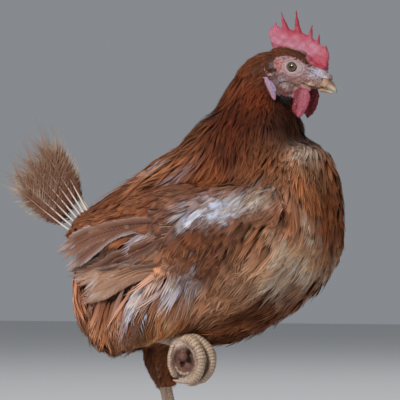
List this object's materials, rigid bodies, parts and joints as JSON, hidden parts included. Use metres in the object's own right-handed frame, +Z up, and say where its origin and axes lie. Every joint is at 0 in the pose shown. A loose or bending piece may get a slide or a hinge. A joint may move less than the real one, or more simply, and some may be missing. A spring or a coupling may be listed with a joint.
{
  "type": "laying hen model",
  "caption": "Life-size still model of a brown laying hen standing on one leg, the other foot raised and clenched, with a raised fanned tail.",
  "frame": {"origin": "on the floor under the middle of the bounding box", "axes": "+X towards the bill, +Y towards the hen's left side, +Z up"},
  "size_m": [0.3298, 0.1696, 0.4187],
  "materials": {
    "russet_feathers": "matte feathers",
    "face_skin": "matte skin",
    "comb_flesh": "satin skin",
    "ear_lobe_skin": "matte skin",
    "horn": "satin horn",
    "leg_scales": "satin scales",
    "eye": "wet gloss"
  },
  "bodies": {
    "root": {"bill_lower": "horn", "bill_upper": "horn", "breast": "russet_feathers", "claw_left_hallux": "horn", "claw_left_inner": "horn", "claw_left_middle": "horn", "claw_left_outer": "horn", "claw_right_hallux": "horn", "claw_right_inner": "horn", "claw_right_middle": "horn", "claw_right_outer": "horn", "comb": "comb_flesh", "ear_lobe_left": "ear_lobe_skin", "ear_lobe_right": "ear_lobe_skin", "eye_left": "eye", "eye_right": "eye", "foot_left": "leg_scales", "foot_right": "leg_scales", "head": "face_skin", "neck_lower": "russet_feathers", "neck_upper": "russet_feathers", "rump": "russet_feathers", "shank_left": "leg_scales", "shank_right": "leg_scales", "tail": "russet_feathers", "thigh_left": "russet_feathers", "thigh_right": "russet_feathers", "trunk": "russet_feathers", "wattle_left": "comb_flesh", "wattle_right": "comb_flesh", "wing_left_flight": "russet_feathers", "wing_left_shoulder": "russet_feathers", "wing_right_flight": "russet_feathers", "wing_right_shoulder": "russet_feathers"}
  },
  "joints": []
}
